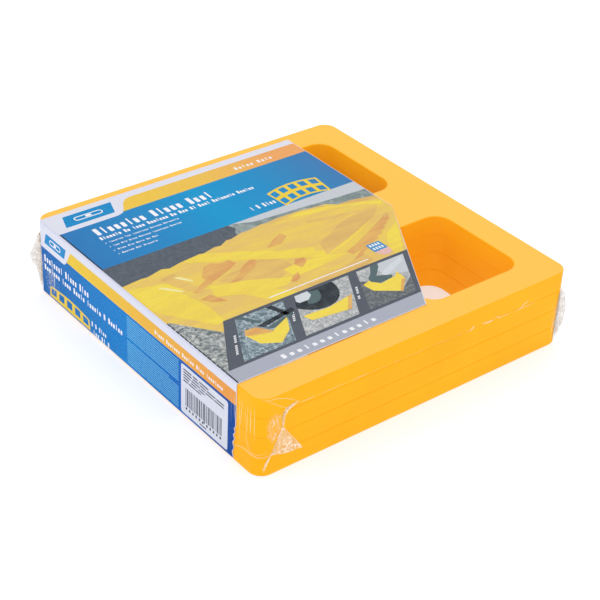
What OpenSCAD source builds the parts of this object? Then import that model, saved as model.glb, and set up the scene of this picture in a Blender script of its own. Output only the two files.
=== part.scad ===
// Leveling block cap set: square ribbed caps stacked with a folded card, in clear shrink film.
// Millimetres. Origin at the centre of the base, +Z up, the card's narrow panel faces -Y.

/* [Caps] */
// Side length of one square cap
cap_w = 215.9; // [205:0.1:225]
// Height of one cap
cap_h = 12; // [10:0.5:16]
// Radius of the cap's four upright corners
cap_corner_r = 8; // [6:0.5:12]
// Radius of the rounded upper edge
cap_top_r = 0.5; // [0.3:0.1:2.5]
// Radius of the rounded lower edge
cap_foot_r = 0.2; // [0.1:0.1:1]
// Thickness of the flat upper skin
skin_t = 3; // [2.6:0.1:4]
// Thickness of the skirt and of the window walls
wall_t = 2.6; // [2:0.1:3]
// Thickness of the stiffening ribs
rib_t = 1.8; // [1.2:0.1:2.4]

/* [Windows] */
// Side length of one square window
window_w = 69; // [62:0.5:72]
// Corner radius of a window
window_r = 10.5; // [6:0.5:14]
// Distance from a window to the cap's outer side
window_margin = 19; // [17:0.5:22]
// Radius of the rounded window rim
window_rim_r = 0.8; // [0.4:0.1:2]

/* [Card] */
// Thickness of the printed card
card_t = 0.45; // [0.3:0.05:0.6]
// Width of the card along the fold
card_w = 191; // [180:0.5:198]
// Distance from the cap's left side to the card
card_left = 6; // [4:0.5:9]
// Distance from the cap's back side to the card's back edge
card_back = 37; // [30:0.5:50]
// How far the cut corner runs along the card's back edge
card_cut_x = 90; // [60:0.5:110]
// How far the cut corner runs along the card's right edge
card_cut_y = 54; // [40:0.5:70]
// Height of the card's lower edge above the lowest cap's foot
card_foot = 0.8; // [0.6:0.1:6]
// Radius inside the card's fold
fold_inner_r = 0.6; // [0.4:0.1:2]

/* [Sticker] */
// Thickness of the sticker
sticker_t = 0.12; // [0.1:0.01:0.2]
// Width of the sticker
sticker_w = 41.5; // [30:0.5:43]
// Height of the sticker
sticker_h = 31; // [20:0.5:33]
// Distance from the card's right edge to the sticker
sticker_right = 6.5; // [3:0.5:12]
// Height of the sticker's lower edge above the lowest cap's foot
sticker_foot = 2.5; // [1:0.5:6]

/* [Film] */
// Thickness of the shrink film
film_t = 0.2; // [0.15:0.05:0.3]
// Space between the film and what it wraps
film_gap = 0.1; // [0.1:0.05:0.5]
// Depth of the sealed seam below the film's upper face
seam_depth = 12; // [9:0.5:16]
// How far the seam's bead stands out from the film
seam_bead = 0.5; // [0.3:0.1:0.8]
// Height of the seam's bead on each ply
seam_h = 0.8; // [0.5:0.1:1.2]
// Radius of the film's upper edge
film_top_r = 1.2; // [0.8:0.1:3]
// Radius of the film's lower edge
film_foot_r = 0.4; // [0.3:0.1:0.8]

/* [Hidden] */
$fn = 48;

// Number of caps in the stack, one for each cap module below
cap_count = 4;
// Space that keeps two flat faces of different pieces apart
face_gap = 0.1;
// Small overlap that joins solids and clears cutting faces
eps = 0.5;

cap_half = cap_w / 2;
window_half = window_w / 2;
// Distance from a cap's centre line to the centre of a window
window_c = cap_half - window_margin - window_half;
// Ribs stand at thirds of the way to the windows' centres, so some run into the window walls
rib_pitch = window_c / 3;
rib_count = floor((cap_half - wall_t) / rib_pitch);

// Heights, from the base up
cap_foot_z = film_t + face_gap;
cap_pitch = cap_h + face_gap;
stack_top = cap_foot_z + cap_count * cap_pitch;
card_top = stack_top + card_t;
total_h = card_top + film_gap + film_t;
seam_z = total_h - seam_depth;
// How much tighter the film's upright corners are than the caps'
card_room = 0.5;
// How far a ply is drawn past the seal before it is cut off there
ply_over = 2;

// The card and its sticker lie on the front side, so the stack sits a little behind the centre
front_pack = face_gap + card_t + sticker_t;
stack_y = front_pack / 2;
film_half_x = cap_half + film_gap + film_t;
film_half_y = cap_half + front_pack / 2 + film_gap + film_t;
// The film's corners are tighter than the caps', which leaves room for the card's end beside one
film_corner_r = cap_corner_r - card_room;

// Outline of a rectangle with round corners, centred
module round_rect(half_x, half_y, r) {
    square([2 * (half_x - r), 2 * half_y], center = true);
    square([2 * half_x, 2 * (half_y - r)], center = true);
    for (sx = [-1, 1], sy = [-1, 1])
        translate([sx * (half_x - r), sy * (half_y - r)]) circle(r);
}

// A block with round corners whose outer edge follows the child, a profile from x = 0 to x = r
module round_block(half_x, half_y, r, z0, z1) {
    cx = half_x - r;
    cy = half_y - r;
    translate([-cx, -cy, z0]) cube([2 * cx, 2 * cy, z1 - z0]);
    for (sx = [-1, 1], sy = [-1, 1])
        translate([sx * cx, sy * cy, 0]) rotate_extrude() children();
    for (side = [0, 180]) {
        rotate([0, 0, side]) translate([cx, 0, 0]) rotate([90, 0, 0])
            linear_extrude(2 * cy, center = true) children();
        rotate([0, 0, side + 90]) translate([cy, 0, 0]) rotate([90, 0, 0])
            linear_extrude(2 * cx, center = true) children();
    }
}

// Half section of a block's edge, from the axis out to r, with its two edges rounded
module edge_profile(r, z0, z1, foot_r, top_r) {
    translate([0, z0 + foot_r]) square([r, z1 - z0 - foot_r - top_r]);
    translate([0, z1 - top_r - eps]) square([r - top_r, top_r + eps]);
    translate([0, z0]) square([r - foot_r, foot_r + eps]);
    translate([r - top_r, z1 - top_r]) circle(top_r);
    translate([r - foot_r, z0 + foot_r]) circle(foot_r);
}

// What a cutter removes at a rim: it leaves a quarter round on the material's edge
module rim_profile(r, rim_r, z1) {
    difference() {
        translate([0, z1 - rim_r]) square([r + rim_r, rim_r]);
        translate([r + rim_r, z1 - rim_r]) circle(rim_r);
    }
    square([r, z1]);
}

// Pockets that hollow the underside, between the skirt, the window walls and the ribs
module pocket_outline() {
    inner = cap_half - wall_t;
    difference() {
        round_rect(inner, inner, cap_corner_r - wall_t);
        for (wx = [-1, 1], wy = [-1, 1])
            translate([wx * window_c, wy * window_c])
                round_rect(window_half + wall_t, window_half + wall_t, window_r + wall_t);
        for (k = [-rib_count : rib_count]) {
            translate([k * rib_pitch - rib_t / 2, -cap_half]) square([rib_t, cap_w]);
            translate([-cap_half, k * rib_pitch - rib_t / 2]) square([cap_w, rib_t]);
        }
    }
}

module cap_body() {
    difference() {
        round_block(cap_half, cap_half, cap_corner_r, 0, cap_h)
            edge_profile(cap_corner_r, 0, cap_h, cap_foot_r, cap_top_r);
        for (wx = [-1, 1], wy = [-1, 1])
            translate([wx * window_c, wy * window_c, 0]) {
                translate([0, 0, -eps])
                    linear_extrude(cap_h + 2 * eps) round_rect(window_half, window_half, window_r);
                round_block(window_half, window_half, window_r, 0, cap_h)
                    rim_profile(window_r, window_rim_r, cap_h);
            }
        translate([0, 0, -eps]) linear_extrude(cap_h - skin_t + eps) pocket_outline();
    }
}

module cap(level) {
    color("orange")
        translate([0, stack_y, cap_foot_z + (level - 1) * cap_pitch]) cap_body();
}

module cap_1() { cap(1); }
module cap_2() { cap(2); }
module cap_3() { cap(3); }
module cap_4() { cap(4); }

// Side view of the folded card: the panel on top, a round fold, and the panel in front
module card_section() {
    fold_r = card_t + fold_inner_r;
    front_y = stack_y - cap_half - face_gap - card_t;
    back_y = stack_y + cap_half - card_back;
    foot_z = cap_foot_z + card_foot;
    difference() {
        union() {
            translate([front_y + fold_r, stack_top]) square([back_y - front_y - fold_r, card_t]);
            translate([front_y, foot_z]) square([card_t, card_top - fold_r - foot_z]);
            intersection() {
                translate([front_y + fold_r, card_top - fold_r]) circle(fold_r);
                translate([front_y, card_top - fold_r]) square([fold_r, fold_r]);
            }
        }
        translate([front_y + fold_r, card_top - fold_r]) circle(fold_r - card_t);
    }
}

module label_card() {
    left_x = card_left - cap_half;
    right_x = left_x + card_w;
    back_y = stack_y + cap_half - card_back;
    color("steelblue")
        difference() {
            translate([left_x, 0, 0]) rotate([90, 0, 90]) linear_extrude(card_w) card_section();
            translate([0, 0, stack_top - eps]) linear_extrude(card_t + 2 * eps)
                polygon([[right_x + eps, back_y - card_cut_y * (1 + eps / card_cut_x)],
                         [right_x + eps, back_y + eps],
                         [right_x - card_cut_x * (1 + eps / card_cut_y), back_y + eps]]);
        }
}

module barcode_sticker() {
    right_x = card_left - cap_half + card_w - sticker_right;
    card_front_y = stack_y - cap_half - face_gap - card_t;
    color("whitesmoke")
        translate([right_x - sticker_w, card_front_y - sticker_t, cap_foot_z + sticker_foot])
            cube([sticker_w, sticker_t, sticker_h]);
}

// Solid block of the film's outer shape, reduced by the inset, between two heights
module film_block(inset, z0, z1, foot_r, top_r) {
    r = film_corner_r - inset;
    round_block(film_half_x - inset, film_half_y - inset, r, z0, z1)
        edge_profile(r, z0, z1, foot_r, top_r);
}

// Bead along the seal, standing out from a film ply
module seam_ring(z0) {
    translate([0, 0, z0])
        linear_extrude(seam_h)
            difference() {
                round_rect(film_half_x + seam_bead, film_half_y + seam_bead,
                           film_corner_r + seam_bead);
                round_rect(film_half_x - film_t / 2, film_half_y - film_t / 2,
                           film_corner_r - film_t / 2);
            }
}

// Everything on one side of the seal, from a height up through one ply
module ply_cut(z0) {
    translate([-cap_w, -cap_w, z0]) cube([2 * cap_w, 2 * cap_w, total_h]);
}

module film_lower() {
    top_z = seam_z - face_gap / 2;
    color("gainsboro", 0.3) {
        difference() {
            film_block(0, 0, top_z + ply_over, film_foot_r, eps);
            film_block(film_t, film_t, top_z + 2 * ply_over, film_foot_r - film_t, eps);
            ply_cut(top_z);
        }
        seam_ring(top_z - seam_h);
    }
}

module film_upper() {
    foot_z = seam_z + face_gap / 2;
    color("aliceblue", 0.3) {
        difference() {
            film_block(0, foot_z - ply_over, total_h, eps, film_top_r);
            film_block(film_t, foot_z - 2 * ply_over, total_h - film_t, eps, film_top_r - film_t);
            ply_cut(foot_z - total_h);
        }
        seam_ring(foot_z);
    }
}

cap_1();
cap_2();
cap_3();
cap_4();
label_card();
barcode_sticker();
film_lower();
film_upper();
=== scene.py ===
"""Shrink-wrapped set of leveling block caps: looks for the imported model.

The caps, the card, the sticker and the film are placed from the frame's own boxes.
Printed areas are thin ink plates, in millimetres from the stack's left side and back side on
the upper panel, and from the stack's left side and the card's upper face on the front panel.
"""

import math
import random

import bmesh
import bpy
from mathutils import Matrix, Vector, noise


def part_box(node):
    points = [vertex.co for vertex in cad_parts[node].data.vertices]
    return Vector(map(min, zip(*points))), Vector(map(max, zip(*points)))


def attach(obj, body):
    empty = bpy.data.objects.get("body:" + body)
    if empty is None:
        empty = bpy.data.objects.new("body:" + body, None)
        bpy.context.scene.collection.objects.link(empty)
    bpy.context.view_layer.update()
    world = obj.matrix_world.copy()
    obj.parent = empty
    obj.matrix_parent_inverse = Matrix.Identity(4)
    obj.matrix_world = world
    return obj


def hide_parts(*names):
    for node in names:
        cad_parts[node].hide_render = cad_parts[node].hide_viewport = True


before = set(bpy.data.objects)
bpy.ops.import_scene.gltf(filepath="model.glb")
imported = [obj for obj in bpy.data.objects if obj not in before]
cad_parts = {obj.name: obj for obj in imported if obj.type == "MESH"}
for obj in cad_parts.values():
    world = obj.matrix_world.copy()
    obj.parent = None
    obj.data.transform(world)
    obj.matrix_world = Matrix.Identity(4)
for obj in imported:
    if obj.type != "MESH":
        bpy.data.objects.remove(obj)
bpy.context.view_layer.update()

bl_info = {
    "name": "Leveling Block Cap Set",
    "version": (1, 0, 0),
    "blender": (4, 5, 0),
    "location": "View3D > Sidebar > Cap Set",
    "description": "Builds the finishes, the printed card and the shrink film of a cap set",
    "category": "Object",
}

MM = 0.001
CAPS = ("cap_1", "cap_2", "cap_3", "cap_4")
CAP_BODIES = ("first_cap", "second_cap", "third_cap", "fourth_cap")
STACK_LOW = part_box(CAPS[0])[0]
STACK_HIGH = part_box(CAPS[-1])[1]
CARD_LOW, CARD_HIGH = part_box("label_card")
STICKER_LOW, STICKER_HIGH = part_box("barcode_sticker")
FILM_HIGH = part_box("film_upper")[1]
STACK_W = (STACK_HIGH.x - STACK_LOW.x) / MM
CARD_X = (CARD_LOW.x - STACK_LOW.x) / MM
CARD_END_X = (CARD_HIGH.x - STACK_LOW.x) / MM
CARD_BACK_Y = (STACK_HIGH.y - CARD_HIGH.y) / MM
CARD_H = (CARD_HIGH.z - CARD_LOW.z) / MM
# The film's distance from what it wraps and the radius of its upright corners, in millimetres
FILM_GAP = 0.28
FILM_CORNER = 7.5
# The film's rounded rim at the top and foot, and how far its upper face stays below the film's height
FILM_RIM = 1.2
FILM_TOP_ROOM = 0.06
# The gap between the film's foot and the floor
FILM_FOOT = 0.05
# The radius of the card's fold to its outer face, and the margin that print leaves along its edges
CARD_FOLD = 1.05
MARGIN = 0.3
PANEL_MARGIN = 0.4
# How deep ink plates reach into the board, how proud the first layer stands and the step of each more
INK_ROOT = -0.05
INK_BASE = 0.012
INK_STEP = 0.004
# The sticker's sheet and its marks, above the front panel
STICKER_ROOT = 0.06
STICKER_TOP = 0.14
MARKS_LIFT = 0.135
# The gap between two words of greeked text, in letters
WORD_GAP = 0.9
# The loose film's own thickness and its crumple's seed, and how far the welded seam stands off the stack
EAR_SHEET = 0.08
EAR_SEED = 71
SEAM_OFF = 0.5
# How much light a varnished ink, the plastic and the film mirror
INK_SPECULAR = 0.05
PLASTIC_SPECULAR = 0.07
FILM_SPECULAR = 0.22
# Light scattered inside the plastic and by the folded film
PLASTIC_GLOW = (0.7, 0.56, 0.04, 1)
FILM_GLOW = (1.0, 0.9, 0.66, 1)
# The floor's radius in metres and its drop below the base, and the camera's shift from the aim
FLOOR_RADIUS = 9.0
FLOOR_DROP = 0.2
VIEW_SIDE = 2.33
VIEW_UP = 7.79


# ---------------------------------------------------------------- sizes and colours
class CapSettings(bpy.types.PropertyGroup):
    plastic: bpy.props.FloatVectorProperty(
        name="Plastic", description="Colour of the moulded plastic", subtype="COLOR",
        size=3, min=0, max=1, default=(0.985, 0.43, 0.003))
    # Painted light: a paler colour for the faces that look straight up, a painted sheen of the light from
    # above
    painted_top_light: bpy.props.FloatVectorProperty(
        name="Top cast", description="Paler colour of the faces that look straight up",
        subtype="COLOR", size=3, min=0, max=1, default=(1.0, 0.5, 0.075))
    roughness: bpy.props.FloatProperty(
        name="Roughness", description="Roughness of the moulded plastic",
        default=0.42, min=0.05, max=1, subtype="FACTOR")
    glow: bpy.props.FloatProperty(
        name="Glow", description="Light that wanders inside the translucent plastic",
        default=0.09, min=0, max=1)
    grain: bpy.props.FloatProperty(
        name="Grain", description="Depth of the fine moulded grain",
        default=0.05, min=0, max=1, subtype="FACTOR")


class CardSettings(bpy.types.PropertyGroup):
    board: bpy.props.FloatVectorProperty(
        name="Board", description="Colour of the bare board", subtype="COLOR",
        size=3, min=0, max=1, default=(0.68, 0.70, 0.82))
    blue: bpy.props.FloatVectorProperty(
        name="Blue", description="Bright blue of the boxes and the icons' windows",
        subtype="COLOR", size=3, min=0, max=1, default=(0.005, 0.25, 0.56))
    yellow: bpy.props.FloatVectorProperty(
        name="Yellow", description="Yellow ink of the icons", subtype="COLOR",
        size=3, min=0, max=1, default=(0.84, 0.60, 0.05))
    thickness: bpy.props.FloatProperty(
        name="Thickness", description="Thickness of the board", default=0.4 * MM,
        min=0.1 * MM, max=0.6 * MM, unit="LENGTH", precision=5)
    gloss: bpy.props.FloatProperty(
        name="Roughness", description="Roughness of the varnished print",
        default=0.3, min=0.05, max=1, subtype="FACTOR")


class FilmSettings(bpy.types.PropertyGroup):
    tint: bpy.props.FloatVectorProperty(
        name="Tint", description="Colour of the film where it gathers", subtype="COLOR",
        size=3, min=0, max=1, default=(0.93, 0.91, 0.88))
    haze: bpy.props.FloatProperty(
        name="Haze", description="How much the flat film veils what it covers",
        default=0.002, min=0, max=1, subtype="FACTOR")
    thickness: bpy.props.FloatProperty(
        name="Thickness", description="Thickness of the film", default=0.05 * MM,
        min=0.02 * MM, max=0.2 * MM, unit="LENGTH", precision=5)
    cell: bpy.props.FloatProperty(
        name="Cell", description="Spacing of the film's mesh", default=3.0 * MM,
        min=1.5 * MM, max=8 * MM, unit="LENGTH", precision=4)
    front_seam: bpy.props.FloatProperty(
        name="Front seam depth", description="Depth of the seal below the top at the front",
        default=10.2 * MM, min=6 * MM, max=16 * MM, unit="LENGTH", precision=4)
    back_seam: bpy.props.FloatProperty(
        name="Back seam depth", description="Depth of the seal below the top at the back",
        default=13.6 * MM, min=6 * MM, max=16 * MM, unit="LENGTH", precision=4)


class StageSettings(bpy.types.PropertyGroup):
    floor: bpy.props.FloatVectorProperty(
        name="Floor", description="Colour of the floor", subtype="COLOR",
        size=3, min=0, max=1, default=(0.66, 0.67, 0.73))
    floor_light: bpy.props.FloatProperty(
        name="Floor light", description="How much the translucent floor is lit from below",
        default=0.48, min=0, max=2)
    sky: bpy.props.FloatProperty(
        name="Surround", description="Brightness of the surrounding light",
        default=0.93, min=0, max=5)
    azimuth: bpy.props.FloatProperty(
        name="Azimuth", description="Camera's turn about the set",
        default=math.radians(50.37), subtype="ANGLE")
    elevation: bpy.props.FloatProperty(
        name="Elevation", description="Camera's height above the floor",
        default=math.radians(33.35), subtype="ANGLE")
    roll: bpy.props.FloatProperty(
        name="Roll", description="Camera's lean", default=math.radians(2.86), subtype="ANGLE")
    distance: bpy.props.FloatProperty(
        name="Distance", description="Camera's distance from the base", default=0.9007,
        min=0.3, max=5, unit="LENGTH")
    lens: bpy.props.FloatProperty(
        name="Lens", description="Focal length in millimetres", default=92.6, min=20, max=300)


def settings():
    """The set's sizes and colours."""
    return bpy.context.scene.cap_set


class CapSetSettings(bpy.types.PropertyGroup):
    caps: bpy.props.PointerProperty(type=CapSettings, name="Caps", description="The caps")
    card: bpy.props.PointerProperty(type=CardSettings, name="Card", description="The card")
    film: bpy.props.PointerProperty(type=FilmSettings, name="Film", description="The film")
    stage: bpy.props.PointerProperty(type=StageSettings, name="Stage", description="The stage")


# ---------------------------------------------------------------- places
def on_top(x, y, h=0.0):
    """Point on the card's upper panel, h millimetres above it."""
    return Vector((STACK_LOW.x + x * MM, STACK_HIGH.y - y * MM, CARD_HIGH.z + h * MM))


def on_front(x, depth, h=0.0):
    """Point on the card's front panel, h millimetres proud of it."""
    return Vector((STACK_LOW.x + x * MM, CARD_LOW.y - h * MM, CARD_HIGH.z - depth * MM))


def around(corner, t, depth, h=0.0):
    """Point on the wrapped sides near a corner: t runs along the surface in millimetres from
    the corner's middle, positive on the left or right side and negative on the front or back."""
    sx, sy = corner
    corner_x = (STACK_HIGH.x if sx > 0 else STACK_LOW.x) / MM + sx * FILM_GAP
    corner_y = (STACK_HIGH.y if sy > 0 else CARD_LOW.y) / MM + sy * FILM_GAP
    cx, cy = corner_x - sx * FILM_CORNER, corner_y - sy * FILM_CORNER
    half_arc = FILM_CORNER * math.pi / 4
    if abs(t) <= half_arc:
        angle = math.pi / 4 - t / FILM_CORNER
        x = cx + sx * (FILM_CORNER + h) * math.cos(angle)
        y = cy + sy * (FILM_CORNER + h) * math.sin(angle)
    elif t > 0:
        x, y = corner_x + sx * h, cy - sy * (t - half_arc)
    else:
        x, y = cx - sx * (-t - half_arc), corner_y + sy * h
    return Vector((x * MM, y * MM, FILM_HIGH.z - depth * MM))


# ---------------------------------------------------------------- mesh helpers
def finish_piece(name, bm, materials, body, angle=35):
    """Turns a bmesh into a finished piece that rides on a body."""
    mesh = bpy.data.meshes.new(name)
    bm.to_mesh(mesh)
    bm.free()
    for material in materials:
        mesh.materials.append(material)
    mesh.polygons.foreach_set("use_smooth", [True] * len(mesh.polygons))
    mesh.set_sharp_from_angle(angle=math.radians(angle))
    piece = bpy.data.objects.new(name, mesh)
    bpy.context.scene.collection.objects.link(piece)
    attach(piece, body)
    return piece


def plate(bm, points, place, low, high, index=0, corner=0.0):
    """A thin solid of an outline, from low to high millimetres above a panel's face."""
    verts = [bm.verts.new(place(x, y, low)) for x, y in points]
    face = bm.faces.new(verts)
    if corner:
        made = bmesh.ops.bevel(bm, geom=verts, affect="VERTICES", offset=corner * MM,
                               segments=3, profile=0.5, material=-1, clamp_overlap=True)
        face = max((f for f in bm.faces if any(v in f.verts for v in made["verts"])),
                   key=lambda f: len(f.verts))
    raised = bmesh.ops.extrude_face_region(bm, geom=[face], use_keep_orig=True)["geom"]
    lift = place(0, 0, high) - place(0, 0, low)
    bmesh.ops.translate(bm, vec=lift, verts=[v for v in raised if isinstance(v, bmesh.types.BMVert)])
    touched = {f for v in raised if isinstance(v, bmesh.types.BMVert) for f in v.link_faces}
    touched.add(face)
    for f in touched:
        f.material_index = index
    return touched


def box_outline(x0, y0, x1, y1):
    """The four corners of an upright box on a panel."""
    return [(x0, y0), (x1, y0), (x1, y1), (x0, y1)]


# ---------------------------------------------------------------- shader helpers
def new_group(name, inputs, outputs):
    group = bpy.data.node_groups.new(name, "ShaderNodeTree")
    for label, kind, value in inputs:
        socket = group.interface.new_socket(label, in_out="INPUT", socket_type=kind)
        socket.default_value = value
    for label, kind in outputs:
        group.interface.new_socket(label, in_out="OUTPUT", socket_type=kind)
    return group


def add(tree, kind, at=(0, 0), **values):
    node = tree.nodes.new(kind)
    node.location = at
    for key, value in values.items():
        setattr(node, key, value)
    return node


def maths(tree, operation, first, second=None, third=None, clamp=False):
    node = add(tree, "ShaderNodeMath", operation=operation, use_clamp=clamp)
    for socket, value in zip(node.inputs, (first, second, third)):
        if value is None:
            continue
        if isinstance(value, (int, float)):
            socket.default_value = value
        else:
            tree.links.new(value, socket)
    return node.outputs[0]


def noise_value(tree, vector, scale, detail=2.0, roughness=0.5):
    node = add(tree, "ShaderNodeTexNoise")
    node.inputs["Scale"].default_value = scale
    node.inputs["Detail"].default_value = detail
    node.inputs["Roughness"].default_value = roughness
    tree.links.new(vector, node.inputs["Vector"])
    return node.outputs["Fac"]


def map_range(tree, value, low, high, to_low, to_high):
    node = add(tree, "ShaderNodeMapRange", interpolation_type="SMOOTHSTEP")
    for label, number in (("From Min", low), ("From Max", high), ("To Min", to_low), ("To Max", to_high)):
        node.inputs[label].default_value = number
    tree.links.new(value, node.inputs["Value"])
    return node.outputs["Result"]


def mix_colour(tree, fac, first, second, blend="MIX"):
    node = add(tree, "ShaderNodeMix", data_type="RGBA", blend_type=blend)
    for socket, value in ((node.inputs[0], fac), (node.inputs[6], first), (node.inputs[7], second)):
        if isinstance(value, (int, float)):
            socket.default_value = value
        elif isinstance(value, (tuple, list)):
            socket.default_value = (*value, 1.0)
        else:
            tree.links.new(value, socket)
    return node.outputs[2]


def moulded_group():
    """Fine moulded grain: colour drift, roughness drift and a height for a bump."""
    group = bpy.data.node_groups.get("Moulded Grain")
    if group:
        return group
    group = new_group("Moulded Grain",
                      [("Colour", "NodeSocketColor", (1, 1, 1, 1)), ("Roughness", "NodeSocketFloat", 0.4),
                       ("Drift", "NodeSocketFloat", 0.5)],
                      [("Colour", "NodeSocketColor"), ("Roughness", "NodeSocketFloat"),
                       ("Height", "NodeSocketFloat")])
    given = add(group, "NodeGroupInput")
    out = add(group, "NodeGroupOutput")
    place = add(group, "ShaderNodeTexCoord").outputs["Object"]
    flow = noise_value(group, place, 22, 3, 0.55)
    fine = noise_value(group, place, 1400, 2, 0.6)
    scuff = noise_value(group, place, 240, 4, 0.7)
    drift = maths(group, "MULTIPLY", map_range(group, flow, 0.35, 0.7, 0, 1), given.outputs["Drift"])
    deeper = mix_colour(group, 1.0, given.outputs["Colour"], (0.93, 0.86, 0.8), "MULTIPLY")
    group.links.new(mix_colour(group, drift, given.outputs["Colour"], deeper), out.inputs["Colour"])
    rough = maths(group, "ADD", given.outputs["Roughness"],
                  maths(group, "MULTIPLY", maths(group, "SUBTRACT", scuff, 0.5), 0.22))
    group.links.new(maths(group, "MAXIMUM", rough, 0.05), out.inputs["Roughness"])
    group.links.new(maths(group, "ADD", fine, maths(group, "MULTIPLY", scuff, 0.5)), out.inputs["Height"])
    return group


def print_group():
    """Varnished print: slight mottle in an ink's colour and roughness."""
    group = bpy.data.node_groups.get("Print Mottle")
    if group:
        return group
    group = new_group("Print Mottle",
                      [("Ink", "NodeSocketColor", (1, 1, 1, 1)), ("Roughness", "NodeSocketFloat", 0.3),
                       ("Mottle", "NodeSocketFloat", 0.35)],
                      [("Colour", "NodeSocketColor"), ("Roughness", "NodeSocketFloat")])
    given = add(group, "NodeGroupInput")
    out = add(group, "NodeGroupOutput")
    place = add(group, "ShaderNodeTexCoord").outputs["Object"]
    dots = noise_value(group, place, 900, 2, 0.6)
    cloud = noise_value(group, place, 60, 3, 0.5)
    amount = maths(group, "MULTIPLY", map_range(group, dots, 0.35, 0.65, 0, 1), given.outputs["Mottle"])
    darker = mix_colour(group, 1.0, given.outputs["Ink"], (0.86, 0.88, 0.9), "MULTIPLY")
    group.links.new(mix_colour(group, amount, given.outputs["Ink"], darker), out.inputs["Colour"])
    rough = maths(group, "ADD", given.outputs["Roughness"],
                  maths(group, "MULTIPLY", maths(group, "SUBTRACT", cloud, 0.5), 0.12))
    group.links.new(maths(group, "MAXIMUM", rough, 0.05), out.inputs["Roughness"])
    return group


def film_group():
    """Shrink film: haze, drawn-out wrinkles and a crackle where the film is gathered."""
    group = bpy.data.node_groups.get("Film Gather")
    if group:
        return group
    group = new_group("Film Gather",
                      [("Haze", "NodeSocketFloat", 0.05), ("Gather", "NodeSocketFloat", 0.0),
                       ("Veil", "NodeSocketFloat", 0.0), ("Fineness", "NodeSocketFloat", 1.0)],
                      [("Alpha", "NodeSocketFloat"), ("Height", "NodeSocketFloat")])
    given = add(group, "NodeGroupInput")
    out = add(group, "NodeGroupOutput")
    place = add(group, "ShaderNodeTexCoord").outputs["Object"]
    bend = add(group, "ShaderNodeTexNoise")
    bend.inputs["Scale"].default_value = 160
    group.links.new(place, bend.inputs["Vector"])
    push = add(group, "ShaderNodeVectorMath", operation="SCALE")
    push.inputs["Scale"].default_value = 0.006
    group.links.new(bend.outputs["Color"], push.inputs[0])
    bent = add(group, "ShaderNodeVectorMath", operation="ADD")
    group.links.new(place, bent.inputs[0])
    group.links.new(push.outputs[0], bent.inputs[1])
    cell = add(group, "ShaderNodeTexVoronoi", feature="DISTANCE_TO_EDGE")
    group.links.new(maths(group, "MULTIPLY", given.outputs["Fineness"], 230), cell.inputs["Scale"])
    group.links.new(bent.outputs[0], cell.inputs["Vector"])
    edges = map_range(group, cell.outputs["Distance"], 0.0, 0.07, 1, 0)
    speck = add(group, "ShaderNodeTexNoise")
    speck.inputs["Detail"].default_value = 3
    speck.inputs["Roughness"].default_value = 0.65
    group.links.new(maths(group, "MULTIPLY", given.outputs["Fineness"], 500), speck.inputs["Scale"])
    group.links.new(bent.outputs[0], speck.inputs["Vector"])
    specks = map_range(group, speck.outputs["Fac"], 0.5, 0.6, 0, 1)
    crackle = maths(group, "MAXIMUM", edges, specks)
    patch = map_range(group, noise_value(group, place, 190, 3, 0.6), 0.34, 0.6, 0.15, 1)
    lines = maths(group, "MULTIPLY", maths(group, "MULTIPLY", crackle, patch), given.outputs["Gather"])
    cloud = map_range(group, noise_value(group, place, 14, 3, 0.5), 0.3, 0.7, 0.75, 1.2)
    haze = maths(group, "MULTIPLY", given.outputs["Haze"], cloud)
    haze = maths(group, "ADD", haze, given.outputs["Veil"])
    haze = maths(group, "ADD", haze, maths(group, "MULTIPLY", given.outputs["Gather"], 0.06))
    alpha = maths(group, "ADD", haze, maths(group, "MULTIPLY", lines, 0.75), clamp=True)
    group.links.new(alpha, out.inputs["Alpha"])
    drawn = noise_value(group, place, 45, 3, 0.5)
    height = maths(group, "ADD", maths(group, "MULTIPLY", drawn, 0.5), lines)
    group.links.new(height, out.inputs["Height"])
    return group


def new_material(name):
    material = bpy.data.materials.new(name)
    material.use_nodes = True
    tree = material.node_tree
    return material, tree, tree.nodes["Principled BSDF"]


def place_group(tree, group, **values):
    node = add(tree, "ShaderNodeGroup", node_tree=group)
    for label, value in values.items():
        socket = node.inputs[label.replace("_", " ")]
        if isinstance(value, (int, float)):
            socket.default_value = value
        elif isinstance(value, (tuple, list)) or hasattr(value, "hsv"):
            socket.default_value = (*value[:3], 1.0)
        else:
            tree.links.new(value, socket)
    return node


def bump(tree, shader, height, strength, distance):
    node = add(tree, "ShaderNodeBump")
    node.inputs["Strength"].default_value = strength
    node.inputs["Distance"].default_value = distance
    tree.links.new(height, node.inputs["Height"])
    tree.links.new(node.outputs["Normal"], shader.inputs["Normal"])


def cap_plastic():
    values = settings().caps
    material, tree, shader = new_material("moulded_yellow_plastic")
    grain = place_group(tree, moulded_group(), Colour=tuple(values.plastic),
                        Roughness=values.roughness, Drift=0.55)
    normal = add(tree, "ShaderNodeNewGeometry").outputs["Normal"]
    split = add(tree, "ShaderNodeSeparateXYZ")
    tree.links.new(normal, split.inputs[0])
    # Painted light: faces that look straight up are mixed towards the paler top colour, a painted sheen of
    # the overhead light
    up = map_range(tree, split.outputs["Z"], 0.8, 0.99, 0, 1)
    tree.links.new(mix_colour(tree, up, grain.outputs["Colour"], tuple(values.painted_top_light)),
                   shader.inputs["Base Color"])
    tree.links.new(grain.outputs["Roughness"], shader.inputs["Roughness"])
    shader.inputs["Specular IOR Level"].default_value = PLASTIC_SPECULAR
    shader.inputs["Emission Color"].default_value = PLASTIC_GLOW
    shader.inputs["Emission Strength"].default_value = values.glow
    bump(tree, shader, grain.outputs["Height"], values.grain, 0.1 * MM)
    return material


# The brightness that the stage's light gives a pale matt face, next to its own colour
LIT = 1.06
LIFT = 0.008


def paint(*shades):
    """Base colour that looks like an sRGB colour, 0 to 255, under this scene's even light."""
    linear = [s / 255 / 12.92 if s <= 10 else ((s / 255 + 0.055) / 1.055) ** 2.4 for s in shades]
    return tuple(max(0.0, value / LIT - LIFT) for value in linear)


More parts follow.
